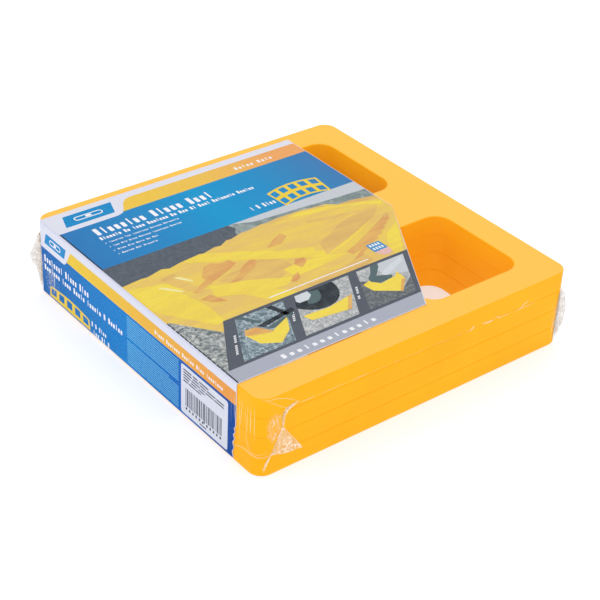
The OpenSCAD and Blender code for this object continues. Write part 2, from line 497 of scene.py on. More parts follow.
def ink(name, colour, roughness=None, mottle=0.35):
    """Varnished ink of one colour, or of the colour that a socket builder gives."""
    material, tree, shader = new_material(name)
    shader.inputs["Specular IOR Level"].default_value = INK_SPECULAR
    rough = settings().card.gloss if roughness is None else roughness
    value = colour(tree) if callable(colour) else tuple(colour)
    mottled = place_group(tree, print_group(), Ink=value, Roughness=rough, Mottle=mottle)
    tree.links.new(mottled.outputs["Colour"], shader.inputs["Base Color"])
    tree.links.new(mottled.outputs["Roughness"], shader.inputs["Roughness"])
    return material


def fade(axis, stops):
    """Socket builder for a colour that changes along an axis: stops are (metres, colour)."""
    def build(tree):
        place = add(tree, "ShaderNodeTexCoord").outputs["Object"]
        split = add(tree, "ShaderNodeSeparateXYZ")
        tree.links.new(place, split.inputs[0])
        low, high = stops[0][0], stops[-1][0]
        along = add(tree, "ShaderNodeMapRange")
        along.inputs["From Min"].default_value = low
        along.inputs["From Max"].default_value = high
        tree.links.new(split.outputs[axis], along.inputs["Value"])
        ramp = add(tree, "ShaderNodeValToRGB")
        while len(ramp.color_ramp.elements) < len(stops):
            ramp.color_ramp.elements.new(0.5)
        for element, (at, colour) in zip(ramp.color_ramp.elements, stops):
            element.position = (at - low) / (high - low)
            element.color = (*colour[:3], 1)
        tree.links.new(along.outputs[0], ramp.inputs[0])
        return ramp.outputs[0]
    return build


def stones(dark, light, scale):
    """Socket builder for printed gravel or asphalt."""
    def build(tree):
        place = add(tree, "ShaderNodeTexCoord").outputs["Object"]
        cell = add(tree, "ShaderNodeTexVoronoi")
        cell.inputs["Scale"].default_value = scale
        tree.links.new(place, cell.inputs["Vector"])
        tone = noise_value(tree, place, scale * 0.8, 4, 0.7)
        shade = maths(tree, "MULTIPLY", cell.outputs["Color"], map_range(tree, tone, 0.3, 0.7, 0.3, 1.3))
        return mix_colour(tree, shade, dark, light)
    return build


def ridges(dull, lively):
    """Socket builder for the soft streaks that run along a printed ridge."""
    def build(tree):
        place = add(tree, "ShaderNodeTexCoord").outputs["Object"]
        turn = add(tree, "ShaderNodeMapping")
        turn.inputs["Rotation"].default_value = (0, 0, math.radians(28))
        turn.inputs["Scale"].default_value = (1, 0.22, 1)
        tree.links.new(place, turn.inputs["Vector"])
        streak = noise_value(tree, turn.outputs[0], 130, 4, 0.6)
        return mix_colour(tree, map_range(tree, streak, 0.36, 0.64, 0, 1), dull, lively)
    return build


def film_material(name, haze=None, solid=0.0, gather=None, fineness=1.0, glow=0.0, crumple=0.5):
    """Clear film; where it is gathered its folds scatter the light, which the glow stands for.
    Without a fixed gather the mesh's own drives it, and scales the solid part."""
    values = settings().film
    material, tree, shader = new_material(name)
    if gather is None:
        gather = add(tree, "ShaderNodeAttribute", attribute_name="gather").outputs["Fac"]
        if solid:
            solid = maths(tree, "MULTIPLY", gather, solid)
    sheet = place_group(tree, film_group(), Haze=values.haze if haze is None else haze, Veil=solid,
                        Gather=gather, Fineness=fineness)
    shader.inputs["Base Color"].default_value = (*values.tint, 1)
    shader.inputs["Roughness"].default_value = 0.2
    shader.inputs["IOR"].default_value = 1.5
    shader.inputs["Specular IOR Level"].default_value = FILM_SPECULAR
    shader.inputs["Emission Color"].default_value = FILM_GLOW
    shader.inputs["Emission Strength"].default_value = glow
    tree.links.new(sheet.outputs["Alpha"], shader.inputs["Alpha"])
    if crumple:
        bump(tree, shader, sheet.outputs["Height"], crumple, 0.3 * MM)
    return material


# ---------------------------------------------------------------- the caps
class CAPSET_OT_caps(bpy.types.Operator):
    """Give the four moulded caps their plastic"""
    bl_idname = "capset.caps"
    bl_label = "Caps"

    def execute(self, context):
        plastic = cap_plastic()
        for name, body in zip(CAPS, CAP_BODIES):
            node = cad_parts[name]
            bm = bmesh.new()
            bm.from_mesh(node.data)
            bmesh.ops.remove_doubles(bm, verts=bm.verts, dist=0.001 * MM)
            bmesh.ops.dissolve_limit(bm, angle_limit=math.radians(0.1), verts=bm.verts, edges=bm.edges,
                                     delimit={"NORMAL"})
            piece = finish_piece(f"moulded_{name}", bm, [plastic], body, 32)
            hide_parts(name)
        return {"FINISHED"}


# ---------------------------------------------------------------- the card
TORN_END = ((27, 0.0), (28.5, 1.2), (30.5, 0.3), (33, 1.8), (35, 0.6), (38, 2.2), (41, 0.9), (44, 2.4))


def front_end_points(inset=0.0):
    """The front panel's right end, from the fold down: straight, then nicked by the tight film."""
    points = [(CARD_END_X - inset, 24)]
    points += [(CARD_END_X - inset - nick, depth) for depth, nick in TORN_END]
    return points + [(CARD_END_X - inset - 1.4, CARD_H - 0.1)]


class CAPSET_OT_card(bpy.types.Operator):
    """Build the folded card"""
    bl_idname = "capset.card"
    bl_label = "Card"

    def execute(self, context):
        values = settings().card
        t = values.thickness
        fold = CARD_FOLD * MM
        bm = bmesh.new()
        front = [(CARD_X, CARD_H - 0.1), (CARD_X, fold / MM), (CARD_END_X, fold / MM)]
        front += front_end_points()
        verts = [bm.verts.new(on_front(x, depth)) for x, depth in front]
        bm.faces.new(verts)
        edge = bm.edges.get((verts[1], verts[2]))
        centre = on_front(0, fold / MM) + Vector((0, fold, 0))
        spun = bmesh.ops.spin(bm, geom=[edge, verts[1], verts[2]], cent=centre, axis=(1, 0, 0),
                              angle=-math.pi / 2, steps=8, use_duplicate=False)["geom_last"]
        ends = sorted((v for v in spun if isinstance(v, bmesh.types.BMVert)), key=lambda v: v.co.x)
        cut_x, cut_y = cut_corner()
        back = [(CARD_END_X, CARD_BACK_Y + cut_y), (CARD_END_X - cut_x, CARD_BACK_Y), (CARD_X, CARD_BACK_Y)]
        rest = [bm.verts.new(on_top(x, y)) for x, y in back]
        bm.faces.new([ends[0], ends[1], *rest])
        bmesh.ops.recalc_face_normals(bm, faces=bm.faces)
        if sum(f.normal.z * f.calc_area() for f in bm.faces) < 0:
            bmesh.ops.reverse_faces(bm, faces=bm.faces)
        bmesh.ops.solidify(bm, geom=bm.faces[:], thickness=t)
        board = ink("bare_board", values.board, 0.5)
        piece = finish_piece("folded_card", bm, [board], "label")
        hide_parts("label_card")
        return {"FINISHED"}


def cut_corner():
    """How far the cut corner runs along the back edge and along the right edge, in millimetres."""
    corner = [v.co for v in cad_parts["label_card"].data.vertices]
    along_x = max(co.x for co in corner if co.y > CARD_HIGH.y - 0.01 * MM)
    along_y = max(co.y for co in corner if co.x > CARD_HIGH.x - 0.01 * MM)
    return (CARD_HIGH.x - along_x) / MM, (CARD_HIGH.y - along_y) / MM


def cut_line(x):
    """Distance from the back of the cut corner's edge at x, on the upper panel."""
    cut_x, cut_y = cut_corner()
    return CARD_BACK_Y + max(0.0, (x - (CARD_END_X - cut_x)) * cut_y / cut_x)


class InkSheet:
    """Thin ink plates on one panel of the card, one material slot for each ink."""

    def __init__(self, place):
        self.place = place
        self.bm = bmesh.new()
        self.inks = []

    def lay(self, material, points, layer, corner=0.0):
        if material not in self.inks:
            self.inks.append(material)
        high = INK_BASE + INK_STEP * layer
        plate(self.bm, points, self.place, INK_ROOT, high, self.inks.index(material), corner)

    def bar(self, material, x0, y0, x1, y1, layer, corner=0.0):
        self.lay(material, box_outline(x0, y0, x1, y1), layer, corner)

    def finish(self, name):
        bmesh.ops.recalc_face_normals(self.bm, faces=self.bm.faces)
        return finish_piece(name, self.bm, self.inks, "label", 20)


def greek_words(seed, words, start, end):
    """Splits a stretch into word-like parts with gaps between them, each as long as its count."""
    rng = random.Random(seed)
    total = sum(words) + WORD_GAP * (len(words) - 1)
    unit = (end - start) / total
    at = start
    for count in words:
        length = count * unit
        yield at, at + length, count, rng
        at += length + WORD_GAP * unit


def greek_letters(sheet, material, words, start, end, base, top, layer, along_y, seed, weight=0.6):
    """A heading as a row of small plain blocks: no lettering, only its rhythm and weight."""
    for first, last, count, rng in greek_words(seed, words, start, end):
        step = (last - first) / count
        rise = top - base
        turn = rng.randint(0, 3)
        for k in range(count):
            slim = (k + turn) % 4 == 3
            wide = 0.4 * weight if slim else weight
            reach = 1.0 if k == 0 or slim else 0.7
            a, b = (first + (k + 0.5 + side * wide / 2) * step for side in (-1, 1))
            low, high = sorted((base, base + rise * reach))
            a, b = sorted((a, b))
            box = (low, a, high, b) if along_y else (a, low, b, high)
            sheet.bar(material, *box, layer, abs(step) * 0.12)


def greek_bars(sheet, material, words, start, end, low, high, layer, along_y, seed):
    """A line of small print as one bar for each word."""
    for first, last, _, _ in greek_words(seed, words, start, end):
        a, b = min(first, last), max(first, last)
        if along_y:
            sheet.bar(material, low, a, high, b, layer)
        else:
            sheet.bar(material, a, low, b, high, layer)


def world_x(x):
    """Scene X of a distance from the stack's left side."""
    return STACK_LOW.x + x * MM


def world_y(y):
    """Scene Y of a distance from the stack's back."""
    return STACK_HIGH.y - y * MM


class CAPSET_OT_top_print(bpy.types.Operator):
    """Print the card's upper panel: colour bands, picture, tiles and word-like marks"""
    bl_idname = "capset.top_print"
    bl_label = "Upper Print"

    def execute(self, context):
        values = settings().card
        front_y = STACK_W
        blue = ink("blue_ink_upper", fade("Y", [
            (world_y(front_y), paint(50, 125, 190)), (world_y(165), paint(38, 140, 200)),
            (world_y(125), paint(24, 155, 210)), (world_y(85), paint(38, 145, 202)),
            (world_y(40), paint(66, 128, 184))]))
        band = ink("yellow_band_ink_upper", fade("Y", [
            (world_y(175), paint(244, 204, 76)), (world_y(110), paint(242, 196, 88)),
            (world_y(60), paint(243, 172, 104))]))
        white = ink("white_ink", paint(228, 229, 241))
        mark = ink("mark_ink", paint(246, 247, 251))
        grey = ink("pale_grey_ink", paint(176, 180, 194))
        dark = ink("dark_grey_ink", paint(92, 98, 108))
        navy = ink("navy_line_ink", paint(8, 10, 44))
        box = ink("box_ink", values.blue)
        yellow = ink("icon_ink", values.yellow)
        top = InkSheet(on_top)
        lay, bar = top.lay, top.bar
        # grounds
        bar(white, CARD_X + MARGIN, CARD_BACK_Y + MARGIN, 11.7, front_y - PANEL_MARGIN, 1)
        bar(band, 11.7, CARD_BACK_Y + MARGIN, 24.2, 176, 1)
        bar(blue, 24.2, CARD_BACK_Y + MARGIN, 71.2, front_y - PANEL_MARGIN, 1)
        lay(grey, [(186.2, cut_line(186.2) + PANEL_MARGIN),
                   (CARD_END_X - MARGIN, cut_line(CARD_END_X) + PANEL_MARGIN),
                   (CARD_END_X - MARGIN, front_y - PANEL_MARGIN), (186.2, front_y - PANEL_MARGIN)], 1)
        # white tab with a plain box and a level's bubble
        lay(white, [(11.0, 157), (12.6, 163), (16.0, 166.6), (22.4, 170.2), (25.4, 172.8), (26.6, 177),
                    (26.6, front_y - PANEL_MARGIN), (11.0, front_y - PANEL_MARGIN)], 2)
        lay(box, [(10.8, 172), (22.3, 176), (22.3, 208.4), (10.8, 204.4)], 3, 0.2)
        bar(mark, 14.4, 181, 18.8, 200, 4, 2.1)
        bar(box, 15.2, 181.8, 18.0, 199.2, 5, 1.3)
        bar(mark, 15.5, 188.4, 17.7, 192.6, 6, 1.0)
        # word-like marks
        greek_letters(top, mark, (5, 4), 88.5, 59.5, 20.2, 17.0, 3, True, 3)
        greek_letters(top, mark, (8, 5, 4), 198.7, 117.8, 39.4, 31.8, 3, True, 5)
        greek_letters(top, mark, (7, 2, 4, 7, 2, 3, 2, 4, 8, 6), 199.3, 92.0, 44.7, 41.4, 3, True, 7, 0.7)
        for row, (words, end) in enumerate((((7, 3, 8, 6, 8), 149.5), ((3, 3, 4, 6, 8, 6), 150.5),
                                             ((4, 3, 4, 2, 3), 169.5), ((6, 3, 7), 173.0))):
            x = 48.6 + 4.5 * row
            greek_letters(top, mark, words, 196.6, end, x + 0.7, x - 0.9, 3, True, 11 + row)
            bar(mark, x - 0.2, 198.3, x + 0.5, 199.0, 3, 0.3)
        greek_letters(top, mark, (1, 1, 4), 109.2, 91.0, 65.6, 61.4, 3, True, 17)
        greek_letters(top, mark, (13,), 185.6, 121.5, 193.6, 190.0, 3, True, 19, 0.5)
        self.icon(top, yellow, blue)
        # dark line along the fold, in the colour of what it borders
        for x0, x1, tone in ((26.8, 71.2, navy), (71.2, 92, dark), (92, 134.6, band), (186.2, 196.8, navy)):
            bar(tone, x0, front_y - 0.95, x1, front_y - 0.3, 40)
        x = 134.6
        while x < 186:
            bar(navy, x, front_y - 0.9, min(x + 3.1, 186.2), front_y - 0.3, 40)
            x += 4.0
        top.finish("upper_print")
        self.picture()
        self.tiles(dark, mark)
        return {"FINISHED"}

    def icon(self, sheet, yellow, window):
        """A yellow strip of caps seen from above, arched, with two rows of five windows."""
        y0, y1 = 54.0, 89.6

        def spot(u, v):
            """Place on the arched strip: u along it and v across it, both 0 to 1."""
            share = 2 * u - 1
            across = 52.4 + 17.4 * v + 3.4 * (share * share - 0.4)
            return across, y0 + (y1 - y0) * u + 1.6 * share * (0.5 - v)

        steps = [k / 10 for k in range(11)]
        sheet.lay(yellow, [spot(u, 0) for u in steps] + [spot(u, 1) for u in reversed(steps)], 3)
        for row in range(2):
            for k in range(5):
                u0, u1 = (k + 0.2) / 5, (k + 0.84) / 5
                v0, v1 = (row + 0.18) / 2, (row + 0.82) / 2
                sheet.lay(window, [spot(u0, v0), spot(u1, v0), spot(u1, v1), spot(u0, v1)], 4)

    def picture(self):
        """The printed scene: a yellow deck of caps across gravel beside a road."""
        front_y, back = STACK_W, CARD_BACK_Y + MARGIN
        x0, x1 = 71.2, 148.9
        sky = ink("printed_sky", paint(203, 208, 214))
        verge = ink("printed_verge", stones(paint(118, 134, 134), paint(176, 186, 184), 260), mottle=0.6)
        asphalt = ink("printed_asphalt", stones(paint(84, 92, 103), paint(104, 112, 122), 700))
        gravel = ink("printed_gravel", stones(paint(86, 100, 106), paint(226, 226, 222), 620))
        deck = ink("printed_deck", ridges(paint(233, 196, 112), paint(240, 208, 98)))
        bright = ink("printed_deck_bright", ridges(paint(241, 211, 92), paint(247, 222, 88)))
        tan = ink("printed_deck_tan", ridges(paint(224, 182, 110), paint(236, 198, 110)))
        orange = ink("printed_deck_orange", ridges(paint(222, 160, 100), paint(232, 184, 106)))
        gleam = ink("printed_deck_gleam", paint(246, 236, 170))
        sheet = InkSheet(on_top)
        lay = sheet.lay
        lay(verge, [(x0, back), (95, back), (93, 132), (x0, 136)], 1)
        lay(sky, [(x0, back), (82, back), (80.5, 62), (79, 78), (77.6, 96), (76, 116), (x0, 128)], 2)
        lay(asphalt, [(x0, 131), (76, 129), (80, 132), (96, 134), (104, front_y - PANEL_MARGIN),
                      (x0, front_y - PANEL_MARGIN)], 3)
        edge = [(91.5, back), (89.4, 46), (88, 52.7), (87.4, 63), (83.2, 69), (82.6, 76), (80.8, 86),
                (80.2, 102.7), (81.2, 111), (80.6, 114), (82.2, 126), (81.8, 129), (84.2, 138), (83.8, 141),
                (86.8, 147), (86.2, 151), (88.2, 160), (87.4, 163), (89.4, 172), (88.6, 175), (90.6, 184),
                (88.8, 188.5), (91.3, 199), (90.8, 203), (92, front_y - PANEL_MARGIN)]
        lay(deck, edge + [(132.6, front_y - PANEL_MARGIN), (141.6, 208.2), (157.6, 195.4), (152, 188),
                          (152, 150), (x1, 100), (x1, cut_line(x1) + PANEL_MARGIN), (107.4, back)], 4)
        lay(gravel, [(132.6, front_y - PANEL_MARGIN), (141.6, 208.2), (157.6, 195.4), (170, 200),
                     (186.2, 210), (186.2, front_y - PANEL_MARGIN)], 3)
        facets = (
            # shaded strips
            (tan, [(91.5, 38), (96, 38), (92.4, 50), (90, 64), (87.4, 63), (88, 52.7), (89.4, 46)]),
            (tan, [(100.6, 50), (102.4, 54), (99.4, 72), (95, 92), (92.6, 91), (94.6, 78), (98, 62)]),
            (tan, [(83.2, 69), (86, 72), (84.4, 90), (83.8, 112), (81.4, 108), (80.6, 92)]),
            (tan, [(110, 44), (117, 47), (124.6, 62), (128.6, 70), (133, 82), (130, 83), (121, 66)]),
            (tan, [(110, 128), (126, 126), (134, 142), (138, 150), (128, 160), (115, 170), (112, 150)]),
            # bright ridges
            (bright, [(98.6, 38), (100.8, 40), (96.4, 49), (92, 60), (89.4, 72), (86.6, 86), (83, 98),
                      (82.2, 88), (84.6, 76), (88.6, 62), (92.6, 49)]),
            (bright, [(101, 42), (112, 58), (119, 72), (126, 92), (128.6, 106), (122, 102), (113, 84),
                      (106, 66)]),
            (bright, [(129.6, 102.6), (123, 102.6), (118, 112), (111.3, 126), (105, 136.6), (99.6, 146),
                      (94.6, 157), (91.2, 165.6), (92.6, 169.6), (97, 163), (103.6, 151), (111, 137),
                      (119, 124), (126.4, 111)]),
            (bright, [(146.8, 141), (148.9, 143), (148.9, 156), (138, 163), (128, 172), (120, 178),
                      (118, 174.6), (124.6, 166), (136, 152)]),
            (bright, [(108, 186), (114, 193), (124, 190), (136, 188), (148.9, 189), (150, 194), (136, 205),
                      (124, 214), (118, front_y - 0.5), (96, front_y - 0.5), (101, 198)]),
            (bright, [(122, 47), (136, 56), (148.9, 65), (148.9, 71), (139, 68), (129, 60)]),
            (tan, [(116.2, 99.2), (105.3, 75.6), (98.8, 49), (101.2, 43), (110.4, 54.6), (121.9, 84.3),
                   (128.1, 103.9)]),
            (bright, [(126.4, 133.1), (125.3, 120.6), (129.0, 104.6), (133.0, 91.0), (135.0, 109.5),
                      (136.4, 131.7)]),
            (bright, [(117.4, 177.2), (124.7, 154.8), (136.4, 131.7), (140.2, 141.5), (135.9, 163.0),
                      (127.9, 179.2)]),
            (bright, [(88.8, 174.3), (87.5, 161.8), (98.0, 141.9), (109.8, 122.8), (116.9, 104.6),
                      (122.2, 106.4), (123.8, 114.8), (112.9, 134.5), (100.0, 154.8), (92.5, 171.9)]),
            # orange turns in the ridges
            (orange, [(100.0, 168.3), (99.2, 162.1), (103.3, 156.0), (106.8, 161.9), (109.9, 167.5),
                      (111.5, 174.2), (107.8, 174.8)]),
            (orange, [(111.8, 150.9), (108.3, 142.5), (110.3, 139.5), (115.9, 144.8), (121.7, 159.2),
                      (121.3, 165.7), (116.2, 155.3)]),
            (orange, [(131.7, 92.4), (127.9, 81.9), (120.9, 66.0), (113, 49), (117.3, 50), (127.7, 69.3),
                      (134.4, 83.9), (135.7, 90.8)]),
            (orange, [(97.9, 118.4), (94.8, 111.3), (99.3, 109.9), (104.0, 117.2), (103.6, 127.4)]),
            (tan, [(97.3, 194.9), (95.8, 185.2), (103.4, 186.0), (119.6, 179.9), (120.3, 184.7),
                   (106.8, 192.7)]),
            (orange, [(101.4, 152), (106.8, 151), (110.6, 160), (114, 169.6), (119.6, 186), (117, 187),
                      (112, 176), (107, 166), (102, 158)]),
            (orange, [(123, 116), (127.4, 117.6), (130.6, 123), (126, 125), (121.6, 121.6)]),
            (orange, [(133, 128), (137.6, 130), (140.2, 134.6), (138.4, 137), (134.6, 133)]),
            (orange, [(124.4, 181), (134.6, 176.6), (131, 184), (125.6, 188)]),
            (orange, [(112.6, 45), (115, 47.6), (117.4, 49), (117.6, 52.4), (120.6, 53), (121, 56),
                      (124, 57.4), (125, 61), (127.4, 62.4), (128, 66), (130.6, 68.4), (131.6, 73),
                      (134.6, 77), (137, 84), (141.6, 88.6), (145, 95), (142.6, 97), (138.4, 90),
                      (134.8, 84), (131, 76.4), (126.6, 68.6), (121.6, 60), (116, 52)]),
            (tan, [(140, 86), (145.6, 84.6), (148.9, 92), (148.9, 130), (144.6, 132), (143, 108)]),
            (gleam, [(103.8, 199.4), (106, 196.6), (114, 190.4), (114.4, 191.8), (107, 198.6),
                     (104, 200.6)]),
            (gleam, [(99.4, 188), (101, 184.6), (108, 180.4), (108.6, 181.4), (102, 186.8)]),
        )
        for n, (tone, outline) in enumerate(facets):
            lay(tone, outline, 5 + n)
        # a plain two-part badge, and the thin line beside the deck
        badge_blue = ink("badge_blue", paint(72, 150, 205))
        badge_pink = ink("badge_pink", paint(236, 190, 184))
        mark = bpy.data.materials["mark_ink"]
        lay(badge_pink, [(140.4, 69.8), (144.6, 69.8), (147.2, 73.6), (146, 77), (141.6, 80)], 34, 0.5)
        lay(badge_blue, box_outline(132.8, 69.8, 141.0, 79.6), 35, 0.5)
        for k in range(2):
            for n in range(4):
                sheet.bar(mark, 133.9 + 3.5 * k, 71.2 + 2.0 * n, 136.1 + 3.5 * k, 72.4 + 2.0 * n, 36)
        sheet.bar(mark, 144.4, 87.6, 145.1, 157, 34)
        sheet.finish("picture_print")

    def tiles(self, dark, mark):
        """The dark strip with three slanted picture tiles, each a cap under a jack or a wheel."""
        yellow = bpy.data.materials["printed_deck_bright"]
        orange = bpy.data.materials["printed_deck_orange"]
        sky = bpy.data.materials["printed_sky"]
        black = ink("printed_rubber", stones(paint(44, 50, 56), paint(70, 78, 84), 300))
        pale = ink("printed_pale_stone", stones(paint(150, 154, 156), paint(222, 222, 222), 900))
        dim = ink("printed_dim_stone", stones(paint(88, 94, 98), paint(140, 146, 148), 800))
        bluish = ink("printed_bluish_stone", stones(paint(76, 96, 108), paint(196, 212, 220), 760))
        steel = ink("printed_steel", paint(92, 112, 116))
        hub = ink("printed_hub", paint(214, 220, 224))
        x0, x1 = 149.0, 186.3
        sheet = InkSheet(on_top)
        lay = sheet.lay
        lay(dark, [(x0, cut_line(x0) + PANEL_MARGIN), (x1, cut_line(x1) + PANEL_MARGIN), (x1, 213.4),
                   (x0, 190.2)], 34)
        left, right = 151.3, 184.2
        for ground, outline in (
                (pale, [(left, 67.7), (right, 87.0), (right, 119.3), (left, 101.8)]),
                (pale, [(left, 107.7), (right, 126.8), (right, 162.7), (left, 145.2)]),
                (bluish, [(left, 152.7), (right, 169.3), (right, 202.3), (left, 184.3)])):
            lay(ground, outline, 35)
        # a jack's leg on its cap
        lay(sky, [(left, 67.7), (167, 77), (162.6, 90), (left, 92)], 36)
        lay(dim, [(171, 79.4), (right, 87.0), (right, 119.3), (160, 106.6), (163.4, 101), (180.4, 93.6)],
            36)
        lay(yellow, [(163.0, 82.7), (171.3, 83.2), (180.5, 92.7), (171.3, 106), (163.8, 107.2),
                     (162.2, 101.8), (168, 97.7), (166.3, 86)], 37)
        lay(orange, [(171.3, 83.2), (180.5, 92.7), (179.6, 94.2), (170.6, 85.2)], 38)
        lay(hub, [(152.4, 70.6), (156.6, 72.8), (163.8, 90), (160.6, 91.6), (157.6, 86)], 37)
        lay(steel, [(left, 86.4), (154, 88), (160.6, 95), (164.4, 87), (166.8, 89), (167.4, 98),
                    (163.6, 101.6), (160.4, 100.6), (157.2, 96.6), (left, 91.8)], 38)
        # a wheel on its cap
        arc = [(152.2 + 17.2 * math.sin(a), 136.4 - 17.2 * math.cos(a)) for a in
               [math.radians(-3 + 166 * k / 22) for k in range(23)]]
        arc[-2:] = [(157.6, 149.0), (left, 145.2)]
        lay(black, [(left, 119.4)] + [(max(left, x), y) for x, y in arc], 36)
        lay(steel, [(left + 11.4 * math.sin(math.radians(a)), 139 - 8.6 * math.cos(math.radians(a)))
                    for a in range(10, 130, 12)] + [(left, 139)], 37)
        lay(hub, [(left, 136.2), (155.2, 136.6), (158.2, 140.4), (158, 146.6), (156, 147.4), (left, 145)],
            38)
        lay(yellow, [(166.9, 117.8), (178, 126.8), (174.7, 151), (168.9, 152.7), (170, 136), (168, 124.6)],
            38)
        lay(orange, [(166.9, 117.8), (178, 126.8), (177.6, 129.4), (167.6, 121)], 39)
        # a pair of rails on their cap
        lay(black, [(left, 160.2), (164.6, 156.2), (165, 158.6), (left, 164.4)], 36)
        lay(black, [(158.6, 153), (161.6, 152.6), (165.6, 176), (162.6, 178)], 36)
        lay(steel, [(162.6, 155), (164.6, 155.4), (169, 172), (166.6, 175)], 37)
        lay(steel, [(left, 180), (160.6, 173.6), (161.4, 175.4), (left, 183.4)], 37)
        lay(yellow, [(164.6, 160.2), (174.6, 166), (181.8, 176.4), (176.4, 186), (166.3, 188.5),
                     (162.2, 186), (171.4, 176)], 38)
        lay(orange, [(162.2, 186), (163, 179.4), (171.4, 173), (170.6, 178), (168, 186), (166.3, 188.5)],
            39)
        for y, words in ((110.8, (4, 3)), (154.4, (5,)), (192.2, (4, 6))):
            span = 1.5 * sum(words)
            for k in range(sum(words)):
                if k == words[0]:
                    continue
                run = span * (k / sum(words))
                near, far, fall = 163.0 + run, 163.9 + run, y + 0.6 * run
                lay(mark, [(near, fall), (far, fall + 0.4), (far, fall + 1.9), (near, fall + 1.5)], 37)
        sheet.finish("tiles_print")


